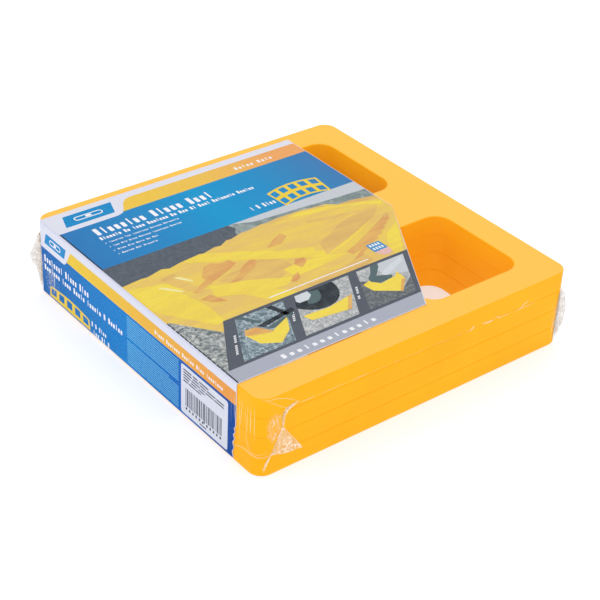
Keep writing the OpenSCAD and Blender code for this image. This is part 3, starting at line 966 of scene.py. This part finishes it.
class CAPSET_OT_front_print(bpy.types.Operator):
    """Print the card's front panel and the sticker's bars"""
    bl_idname = "capset.front_print"
    bl_label = "Front Print"

    def execute(self, context):
        white, yellow = bpy.data.materials["white_ink"], bpy.data.materials["icon_ink"]
        mark, box = bpy.data.materials["mark_ink"], bpy.data.materials["box_ink"]
        blue = ink("blue_ink_front", fade("X", [
            (world_x(6), paint(12, 104, 180)), (world_x(60), paint(6, 126, 200)),
            (world_x(100), paint(2, 132, 208)),
            (world_x(150), paint(0, 104, 190)), (world_x(197), paint(8, 72, 152))]))
        band = ink("yellow_band_ink_front", fade("X", [
            (world_x(39), paint(242, 206, 62)), (world_x(110), paint(243, 190, 70)),
            (world_x(185), paint(240, 162, 78))]))
        small = ink("fine_print_ink", paint(112, 188, 228))
        front = InkSheet(on_front)
        lay, bar = front.lay, front.bar
        bottom = CARD_H - MARGIN
        end = front_end_points(MARGIN)
        lay(blue, [(CARD_X + MARGIN, bottom), (CARD_X + MARGIN, 13.7),
                   (CARD_END_X - MARGIN, 13.7)] + end[:-1]
            + [(end[-1][0], bottom)], 1)
        bar(band, 34, 5.4, CARD_END_X - MARGIN, 13.7, 2)
        bar(white, CARD_X + MARGIN, 1.3, CARD_END_X - MARGIN, 5.4, 2)
        lay(white, [(CARD_X + MARGIN, 4.5), (39.8, 4.5), (38.6, 6.8), (33.8, 15.2), (31.6, 16.7),
                    (CARD_X + MARGIN, 16.7)], 3, 0.5)
        lay(box, [(12.4, 5.8), (34.4, 5.8), (32.2, 12.9), (10.3, 12.9)], 4, 0.2)
        bar(mark, 16.2, 7.6, 28.4, 11.2, 5, 1.7)
        bar(box, 16.9, 8.3, 27.7, 10.5, 6, 1.0)
        bar(mark, 21.0, 8.5, 23.6, 10.3, 7, 0.8)
        greek_letters(front, mark, (5, 7, 6, 4, 8), 124, 186, 11.4, 8.8, 4, False, 23)
        greek_letters(front, mark, (8, 5, 4), 8.8, 58, 25.4, 20.8, 4, False, 29)
        greek_letters(front, mark, (7, 4, 5, 6, 1, 6), 8.8, 92.5, 31.0, 27.2, 4, False, 31, 0.66)
        greek_letters(front, mark, (1, 1, 4), 59.5, 75.5, 42.6, 39.4, 4, False, 37)
        greek_letters(front, mark, (3, 2, 1), 61.0, 78.5, 47.6, 44.4, 4, False, 41)
        self.icon(front, yellow, blue)
        rng = random.Random(43)
        depth = 15.4
        while depth < 46.5:
            if not 29.4 < depth < 31.0:
                last = 146.5 if rng.random() < 0.88 else rng.uniform(118, 142)
                words = [rng.randint(24, 60) for _ in range(3)]
                greek_bars(front, small, words, 97, last, depth, depth + 0.62, 4, False, int(depth * 10))
            depth += 1.42
        front.finish("front_print")
        self.sticker()
        return {"FINISHED"}

    def icon(self, sheet, yellow, window):
        """The front of the arched strip of caps: one row of five windows."""
        x0, x1, crown, foot = 14.6, 57.4, 38.2, CARD_H - 1.2

        def spot(u, v):
            """Place on the strip: u along it and v down it, both 0 to 1."""
            share = 2 * u - 1
            drop = crown + (foot - crown) * v + 1.9 * share * share * (1 - v)
            return x0 + (x1 - x0) * u + 0.9 * share * v, drop

        steps = [k / 10 for k in range(11)]
        sheet.lay(yellow, [spot(u, 0) for u in steps] + [spot(u, 1) for u in reversed(steps)], 4)
        for k in range(5):
            u0, u1 = (k + 0.17) / 5, (k + 0.83) / 5
            sheet.lay(window, [spot(u0, 0.16), spot(u1, 0.16), spot(u1, 0.74), spot(u0, 0.74)], 5)

    def sticker(self):
        paper = ink("sticker_paper", paint(224, 227, 238), 0.45)
        black = ink("sticker_black_ink", paint(58, 62, 84), 0.5)
        x0, x1 = ((edge.x - STACK_LOW.x) / MM for edge in (STICKER_LOW, STICKER_HIGH))
        z0, z1 = ((CARD_HIGH.z - edge.z) / MM for edge in (STICKER_HIGH, STICKER_LOW))
        bm = bmesh.new()
        plate(bm, box_outline(x0, z0, x1, z1), on_front, STICKER_ROOT, STICKER_TOP, 0, 1.4)
        bmesh.ops.recalc_face_normals(bm, faces=bm.faces)
        piece = finish_piece("sticker_sheet", bm, [paper], "label", 20)
        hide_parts("barcode_sticker")

        def on_sticker(x, depth, h):
            return on_front(x, depth, h + MARKS_LIFT)

        marks = InkSheet(on_sticker)
        rng = random.Random(47)
        for row in range(5):
            words = [rng.randint(3, 8) for _ in range(5 if row in (1, 2) else 3)]
            last = x0 + (38 if row in (1, 2) else rng.uniform(18, 30))
            greek_bars(marks, black, words, x0 + 2.2, last, z0 + 2.3 + 1.75 * row, z0 + 3.1 + 1.75 * row, 1,
                       False, row)
        x = x0 + 4.2
        while x < x1 - 5.2:
            wide = rng.choice((0.28, 0.28, 0.55, 0.85))
            guard = abs(x - (x0 + x1) / 2) < 0.8
            marks.bar(black, x, z0 + 13.8, x + wide, z0 + (26.6 if guard else 25.2), 1)
            x += wide + rng.choice((0.28, 0.5, 0.75))
        for k in range(11):
            at = x0 + 4.4 + k * 2.95 + (0.8 if k > 5 else 0)
            marks.bar(black, at, z0 + 26.0, at + 1.3, z0 + 27.6, 1, 0.4)
        greek_bars(marks, black, (4,), x0 + 17, x0 + 23, z0 + 28.8, z0 + 29.5, 1, False, 1)
        marks.finish("sticker_print")


# ---------------------------------------------------------------- the film
GATHERS = (
    # corner, place along the surface, depth, reach along, reach down, strength
    ((1, -1), 8.5, 20, 5, 10, 0.4),
    ((-1, -1), 0, 27, 9, 8, 0.35),
    ((-1, -1), -16, 36, 8, 9, 0.3),
    ((1, 1), 0, 29, 8, 13, 0.7),
    ((-1, 1), 0, 27, 9, 10, 0.8),
    ((-1, 1), 12, 33, 8, 7, 0.6),
)


def gather_at(co):
    """How strongly the film is gathered at a point: 0 where it is taut."""
    most = 0.0
    for corner, t, depth, reach_t, reach_d, strength in GATHERS:
        centre = around(corner, t, depth)
        flat = Vector((co.x - centre.x, co.y - centre.y)).length / (reach_t * MM)
        down = (co.z - centre.z) / (reach_d * MM)
        most = max(most, strength * max(0.0, 1 - (flat * flat + down * down)))
    return min(1.0, most)


def seam_depth(y):
    """Depth of the seal below the film's top, which falls towards the back."""
    values = settings().film
    share = (y - CARD_LOW.y) / (STACK_HIGH.y - CARD_LOW.y)
    return values.front_seam + (values.back_seam - values.front_seam) * share


def film_shell():
    """The whole film as one closed box with round corners and a fine grid, before it is parted."""
    values = settings().film
    gap = FILM_GAP * MM
    low = Vector((STACK_LOW.x - gap, CARD_LOW.y - gap, FILM_FOOT * MM))
    high = Vector((STACK_HIGH.x + gap, STACK_HIGH.y + gap, FILM_HIGH.z - FILM_TOP_ROOM * MM))
    bm = bmesh.new()
    bmesh.ops.create_cube(bm, size=1, matrix=Matrix.Translation((low + high) / 2)
                          @ Matrix.Diagonal((*(high - low), 1)))
    upright = [e for e in bm.edges if abs(e.verts[0].co.z - e.verts[1].co.z) > MM]
    bmesh.ops.bevel(bm, geom=upright, affect="EDGES", offset=FILM_CORNER * MM, segments=10, profile=0.5,
                    material=-1)
    level = [e for e in bm.edges if len(e.link_faces) == 2 and abs(e.verts[0].co.z - e.verts[1].co.z) < 1e-6]
    rims = [e for e in level if any(abs(f.normal.z) > 0.9 for f in e.link_faces)
            and any(abs(f.normal.z) < 0.1 for f in e.link_faces)]
    bmesh.ops.bevel(bm, geom=rims, affect="EDGES", offset=FILM_RIM * MM, segments=4, profile=0.5,
                    material=-1)
    for axis in range(3):
        direction = Vector([1.0 if k == axis else 0.0 for k in range(3)])
        count = max(2, round((high[axis] - low[axis]) / values.cell))
        for k in range(1, count):
            at = low + (high - low) * (k / count)
            bmesh.ops.bisect_plane(bm, geom=bm.verts[:] + bm.edges[:] + bm.faces[:], dist=1e-7,
                                   plane_co=at, plane_no=direction)
    return bm


def part_film(bm, keep_upper):
    """Cuts the film along the sloping seal and keeps the ply above or below it."""
    front = Vector((0, CARD_LOW.y, FILM_HIGH.z - seam_depth(CARD_LOW.y)))
    back = Vector((0, STACK_HIGH.y, FILM_HIGH.z - seam_depth(STACK_HIGH.y)))
    normal = (back - front).cross(Vector((1, 0, 0))).normalized()
    if normal.z < 0:
        normal.negate()
    bmesh.ops.bisect_plane(bm, geom=bm.verts[:] + bm.edges[:] + bm.faces[:], dist=1e-7, plane_co=front,
                           plane_no=normal, clear_inner=keep_upper, clear_outer=not keep_upper)


def crease_film(bm):
    """Wrinkles the film outwards where it is gathered, and hardly at all where it is taut."""
    layer = bm.verts.layers.float.new("gather")
    bm.normal_update()
    moves = []
    for vert in bm.verts:
        gather = gather_at(vert.co)
        vert[layer] = gather
        ripple = noise.noise(vert.co * 260) * 0.5 + noise.noise(vert.co * 620) * 0.35
        taut = noise.noise(vert.co * 38) * 0.06
        moves.append(vert.normal * ((abs(ripple) * gather * 1.5 + taut * 0.5 + 0.05) * MM))
    for vert, move in zip(bm.verts, moves):
        if vert.normal.z < -0.5:
            continue
        vert.co += move


def strands_mesh(paths):
    """Fine drawn-out folds of film as thin closed strands: each path is (points, width in mm)."""
    bm = bmesh.new()
    for points, width in paths:
        curve = bpy.data.curves.new("strand", "CURVE")
        curve.dimensions = "3D"
        curve.bevel_depth = width * MM / 2
        curve.bevel_resolution = 1
        curve.use_fill_caps = True
        spline = curve.splines.new("POLY")
        spline.points.add(len(points) - 1)
        last = len(points) - 1
        for k, (point, place) in enumerate(zip(spline.points, points)):
            point.co = (*place, 1)
            point.radius = 0.35 + 0.65 * math.sin(math.pi * min(1.0, (k + 0.4) / (last + 0.8)))
        holder = bpy.data.objects.new("strand", curve)
        bpy.context.scene.collection.objects.link(holder)
        bpy.context.view_layer.update()
        mesh = bpy.data.meshes.new_from_object(holder.evaluated_get(bpy.context.evaluated_depsgraph_get()))
        bm.from_mesh(mesh)
        bpy.data.objects.remove(holder)
        bpy.data.meshes.remove(mesh)
        bpy.data.curves.remove(curve)
    return bm


def wander(corner, marks, rng, sway, height=0.25, step=1.6):
    """Points of a fold that runs through marks of (place, depth), swaying a little between them."""
    points = []
    for (t0, d0), (t1, d1) in zip(marks, marks[1:]):
        count = max(2, round(math.hypot(t1 - t0, d1 - d0) / step))
        for k in range(count):
            share = k / count
            side = rng.uniform(-sway, sway) if 0 < k else 0
            points.append(around(corner, t0 + (t1 - t0) * share + side, d0 + (d1 - d0) * share + side * 0.7,
                                 height))
    return points + [around(corner, *marks[-1], height)]


STAR = (
    # folds of the gathered front right corner: places along the surface and depths, and width
    (((1, 0.8), (8, 1.4), (15, 4.2), (23.1, 9.2)), 0.24),
    (((3, 1.2), (8.4, 5.2), (12.4, 8.2), (15.5, 10.4)), 0.2),
    (((23.1, 9.6), (19, 10.4), (15.6, 11.6), (13.8, 14), (13.4, 20.7)), 0.42),
    (((13.5, 20.7), (17, 26.4), (22.4, 33.6), (26.9, 40.2)), 0.3),
    (((26.9, 40.2), (19, 39.2), (12, 37.8), (6.6, 36)), 0.26),
    (((13.3, 21), (11, 27), (8.6, 32), (5.8, 37)), 0.3),
    (((6.2, 36.4), (4.2, 40.4), (2.5, 45.6)), 0.36),
    (((6.8, 35.2), (3.4, 36.4), (-1, 36.4), (-6.5, 35.2), (-11.5, 35.6), (-17, 38)), 0.34),
    (((5, 33), (0, 35), (-5, 34), (-8.2, 28)), 0.18),
)
CRACKLE = (
    # patches of tightly gathered film at the same corner
    ((13.5, 20.4), (15.4, 24), (18, 28), (20.6, 31.4), (23, 34.8), (26.9, 40.2), (23, 39.4), (19, 39.6),
     (14, 38.6), (10, 37), (6.4, 36.6), (8, 33), (10, 29.4), (11.8, 25)),
    ((23.1, 9.2), (19.8, 11), (16.6, 12.6), (15, 15), (14.4, 20.8), (12.9, 20.8), (12.6, 16), (13.2, 12.8),
     (15.4, 10.2), (19, 9)),
    ((6.8, 36), (5.2, 40.4), (3.4, 44.6), (2.2, 44.6), (3.6, 40), (5.4, 36.4)),
)


class CAPSET_OT_film(bpy.types.Operator):
    """Wrap the set in clear shrink film: two plies that meet at the sealed seam"""
    bl_idname = "capset.film"
    bl_label = "Film"

    def execute(self, context):
        clear = film_material("clear_film")
        drawn = film_material("drawn_film", solid=0.22, gather=0.0, glow=0.3, crumple=0)
        crackled = film_material("crackled_film", solid=0.02, gather=0.5, fineness=1.7, glow=0.35,
                                 crumple=0)
        loose = film_material("loose_film", haze=0.01, solid=0.42, fineness=0.6)
        for node, body, upper in (("film_lower", "wrap_base", False), ("film_upper", "wrap_top", True)):
            bm = film_shell()
            part_film(bm, upper)
            crease_film(bm)
            bmesh.ops.recalc_face_normals(bm, faces=bm.faces)
            bmesh.ops.solidify(bm, geom=bm.faces[:], thickness=settings().film.thickness)
            piece = finish_piece(f"{node}_ply", bm, [clear], body, 50)
            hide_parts(node)
        self.seal(drawn)
        self.folds(drawn, crackled)
        self.ears(loose)
        return {"FINISHED"}

    def seal(self, material):
        """The melted seam: short whitish stretches along the right, back and left sides."""
        rng = random.Random(61)
        paths = []
        span = (STACK_HIGH.y - CARD_LOW.y) / MM
        for corner_x in (1, -1):
            side_x = (STACK_HIGH.x if corner_x > 0 else STACK_LOW.x) + corner_x * SEAM_OFF * MM
            s = 26.0
            while s < span - 24:
                length = rng.uniform(3, 17)
                width = rng.choice((0.1, 0.16, 0.28))
                points = []
                at = s
                while at < min(s + length, span - 24):
                    y = CARD_LOW.y + at * MM
                    depth = seam_depth(y) / MM + rng.uniform(-0.12, 0.12)
                    points.append(Vector((side_x, y, FILM_HIGH.z - depth * MM)))
                    at += 1.5
                if len(points) > 1:
                    paths.append((points, width))
                s += length + rng.uniform(0.5, 4)
        x = STACK_LOW.x + 20 * MM
        while x < STACK_HIGH.x - 30 * MM:
            length = rng.uniform(4, 16)
            points = [Vector((x + k * 1.5 * MM, STACK_HIGH.y + SEAM_OFF * MM,
                              FILM_HIGH.z - seam_depth(STACK_HIGH.y) + rng.uniform(-0.12, 0.12) * MM))
                      for k in range(int(length / 1.5) + 2)]
            paths.append((points, rng.choice((0.14, 0.2, 0.3))))
            x += (length + rng.uniform(2, 5)) * MM
        # curls of trimmed seam near the back of the right side
        for s, depth, rise, run in ((141, 13.2, -2.4, 3.0), (150, 11.4, 0.8, 9.0), (160, 10.6, 1.6, 3.5),
                                    (178, 13.0, -3.2, 7.0)):
            points = []
            for k in range(9):
                share = k / 8
                y = CARD_LOW.y + (s + run * share) * MM
                lift = rise * math.sin(share * math.pi / 2)
                points.append(Vector((STACK_HIGH.x + (SEAM_OFF + 0.4 * math.sin(share * math.pi)) * MM, y,
                                      FILM_HIGH.z - (depth + lift) * MM)))
            paths.append((points, 0.5))
        bm = strands_mesh(paths)
        bmesh.ops.recalc_face_normals(bm, faces=bm.faces)
        finish_piece("sealed_seam", bm, [material], "wrap_base", 60)

    def folds(self, drawn, crackled):
        """Drawn-out folds and crackled patches at the corners, parted at the seal like the film."""
        rng = random.Random(67)
        paths = [(wander((1, -1), marks, rng, 0.25), width) for marks, width in STAR]
        for k in range(9):
            t = -21 + 2.3 * k
            marks = ((t, rng.uniform(3, 9)), (t + rng.uniform(-1, 1), rng.uniform(20, 33)))
            paths.append((wander((1, -1), marks, rng, 0.1), rng.choice((0.1, 0.16, 0.26))))
        for _ in range(12):
            t, depth = rng.uniform(6.5, 12), rng.uniform(12.5, 26)
            marks = ((t, depth), (t + rng.uniform(-1.5, 1.5), depth + rng.uniform(1, 3)))
            paths.append((wander((1, -1), marks, rng, 0.3, step=0.8), rng.uniform(0.2, 0.5)))
        for corner, t0, t1 in (((-1, -1), -24, 6), ((1, 1), -8, 8), ((-1, 1), -14, 14)):
            for _ in range(8):
                t, depth = rng.uniform(t0, t1), rng.uniform(20, 34)
                marks = ((t, depth), (t + rng.uniform(-4, 4), depth + rng.uniform(5, 13)))
                paths.append((wander(corner, marks, rng, 0.35), rng.uniform(0.14, 0.3)))
        bm = strands_mesh(paths)

        def beside(t, depth, h):
            return around((1, -1), t, depth, h)

        for outline in CRACKLE:
            plate(bm, outline, beside, 0.12, 0.2, 1)
        bmesh.ops.recalc_face_normals(bm, faces=bm.faces)
        for name, body, upper in (("corner_folds_lower", "wrap_base", False),
                                  ("corner_folds_upper", "wrap_top", True)):
            part = bm.copy()
            part_film(part, upper)
            bmesh.ops.holes_fill(part, edges=[e for e in part.edges if e.is_boundary], sides=0)
            bmesh.ops.recalc_face_normals(part, faces=part.faces)
            finish_piece(name, part, [drawn, crackled], body, 60)
        bm.free()

    def ears(self, material):
        """Loose corners of film that stand out from the wrap below the seal: the profiles are
        depths and how far the film stands out there."""
        front_left = ((10.4, 0.2), (15, 1.9), (21, 4.2), (27, 6.3), (31, 5.4), (35, 2.8), (41, 1.8),
                      (48, 0.3))
        back_right = ((13.8, 0.2), (19, 2.6), (26, 3.7), (34, 3.4), (41, 2.0), (47, 0.3))
        back_left = ((13.8, 0.2), (20, 2.4), (27, 4.4), (33, 3.2), (41, 1.2), (47, 0.3))
        # noise_vector's offsets come from the clock unless a seed is set
        noise.seed_set(EAR_SEED)
        for name, corner, profile, wide in (("ear_front_left", (-1, -1), front_left, 5.5),
                                            ("ear_back_right", (1, 1), back_right, 5.0),
                                            ("ear_back_left", (-1, 1), back_left, 6.0)):
            bm = bmesh.new()
            bmesh.ops.create_grid(bm, x_segments=20, y_segments=44, size=0.5)
            layer = bm.verts.layers.float.new("gather")
            top, foot = profile[0][0], profile[-1][0]
            for vert in bm.verts:
                u, depth = vert.co.x * 2, top + (foot - top) * (vert.co.y + 0.5)
                k = max(n for n in range(len(profile) - 1) if depth >= profile[n][0] - 1e-4)
                (d0, out0), (d1, out1) = profile[k:k + 2]
                share = (depth - d0) / (d1 - d0)
                stand = out0 + (out1 - out0) * share * share * (3 - 2 * share)
                ridge = (1 - abs(u)) ** 1.25
                place = around(corner, u * wide, depth, 0.2 + stand * ridge)
                vert.co = place + noise.noise_vector(place * 240) * (0.12 * MM * stand * ridge)
                vert[layer] = min(1.0, 1.5 * ridge * min(1.0, stand / 2))
            bmesh.ops.recalc_face_normals(bm, faces=bm.faces)
            bmesh.ops.solidify(bm, geom=bm.faces[:], thickness=EAR_SHEET * MM)
            finish_piece(name, bm, [material], "wrap_base", 60)


# ---------------------------------------------------------------- floor, light and camera
def soft_lamp(name, place, aim, size, power):
    """A rectangular soft light at a place, turned towards a point."""
    lamp = bpy.data.lights.new(name, "AREA")
    lamp.shape = "RECTANGLE"
    lamp.size, lamp.size_y = size
    lamp.energy = power
    holder = bpy.data.objects.new(name, lamp)
    holder.location = place
    holder.rotation_euler = (Vector(aim) - Vector(place)).to_track_quat("-Z", "Y").to_euler()
    bpy.context.scene.collection.objects.link(holder)


class CAPSET_OT_stage(bpy.types.Operator):
    """Set the floor, the soft lights, the surround and the camera"""
    bl_idname = "capset.stage"
    bl_label = "Stage"

    def execute(self, context):
        values = settings().stage
        scene = context.scene
        bm = bmesh.new()
        bmesh.ops.create_circle(bm, cap_ends=True, segments=96, radius=FLOOR_RADIUS)
        bmesh.ops.translate(bm, vec=(0, 0, -FLOOR_DROP * MM), verts=bm.verts)
        mesh = bpy.data.meshes.new("floor")
        bm.to_mesh(mesh)
        bm.free()
        floor = bpy.data.objects.new("floor", mesh)
        scene.collection.objects.link(floor)
        material, _, shader = new_material("plain_floor")
        shader.inputs["Base Color"].default_value = (*values.floor, 1)
        shader.inputs["Roughness"].default_value = 0.9
        shader.inputs["Specular IOR Level"].default_value = 0.1
        shader.inputs["Emission Color"].default_value = (1, 1, 1, 1)
        shader.inputs["Emission Strength"].default_value = values.floor_light
        mesh.materials.append(material)

        world = bpy.data.worlds.new("surround")
        world.use_nodes = True
        background = world.node_tree.nodes["Background"]
        background.inputs["Color"].default_value = (1, 1, 1, 1)
        background.inputs["Strength"].default_value = values.sky
        scene.world = world
        scene.view_settings.view_transform = "Standard"
        scene.view_settings.look = "None"

        soft_lamp("key", (-0.5, 0.55, 0.9), (0, 0, 0), (0.9, 0.6), 1.5)
        soft_lamp("fill", (0.9, -0.25, 0.6), (0, 0, 0.02), (0.7, 0.7), 0.5)
        soft_lamp("front", (-0.35, -0.9, 0.5), (0, 0, 0.02), (0.6, 0.6), 0.5)

        az, el, roll = values.azimuth, values.elevation, values.roll
        back = Vector((math.sin(az) * math.cos(el), -math.cos(az) * math.cos(el), math.sin(el)))
        side = Vector((0, 0, 1)).cross(back).normalized()
        up = back.cross(side)
        camera_data = bpy.data.cameras.new("camera")
        camera_data.sensor_width = 36
        camera_data.lens = values.lens
        camera_data.clip_end = 50
        camera = bpy.data.objects.new("camera", camera_data)
        scene.collection.objects.link(camera)
        aim = Vector(((STACK_LOW.x + STACK_HIGH.x) / 2, (STACK_LOW.y + STACK_HIGH.y) / 2, STACK_LOW.z))
        place = aim + back * values.distance + side * (VIEW_SIDE * MM) + up * (VIEW_UP * MM)
        right = side * math.cos(roll) + up * math.sin(roll)
        top = up * math.cos(roll) - side * math.sin(roll)
        camera.matrix_world = Matrix((
            (right.x, top.x, back.x, place.x), (right.y, top.y, back.y, place.y),
            (right.z, top.z, back.z, place.z), (0, 0, 0, 1)))
        scene.camera = camera
        return {"FINISHED"}


# ---------------------------------------------------------------- panel and registration
STEPS = (CAPSET_OT_stage, CAPSET_OT_caps, CAPSET_OT_card, CAPSET_OT_top_print,
         CAPSET_OT_front_print, CAPSET_OT_film)


class CAPSET_PT_panel(bpy.types.Panel):
    bl_idname = "CAPSET_PT_panel"
    bl_label = "Cap Set"
    bl_space_type = "VIEW_3D"
    bl_region_type = "UI"
    bl_category = "Cap Set"

    def draw(self, context):
        for step in STEPS:
            self.layout.operator(step.bl_idname)
        for group in (settings().caps, settings().card, settings().film, settings().stage):
            column = self.layout.column()
            for label in group.bl_rna.properties.keys():
                if label not in ("rna_type", "name"):
                    column.prop(group, label)


CLASSES = (CapSettings, CardSettings, FilmSettings, StageSettings, CapSetSettings, *STEPS, CAPSET_PT_panel)


def register():
    for item in CLASSES:
        bpy.utils.register_class(item)
    bpy.types.Scene.cap_set = bpy.props.PointerProperty(type=CapSetSettings, name="Cap set",
                                                        description="Sizes and colours of the set")


def unregister():
    del bpy.types.Scene.cap_set
    for item in reversed(CLASSES):
        bpy.utils.unregister_class(item)


def main():
    register()
    bpy.ops.capset.stage()
    bpy.ops.capset.caps()
    bpy.ops.capset.card()
    bpy.ops.capset.top_print()
    bpy.ops.capset.front_print()
    bpy.ops.capset.film()


if __name__ == "__main__":
    main()
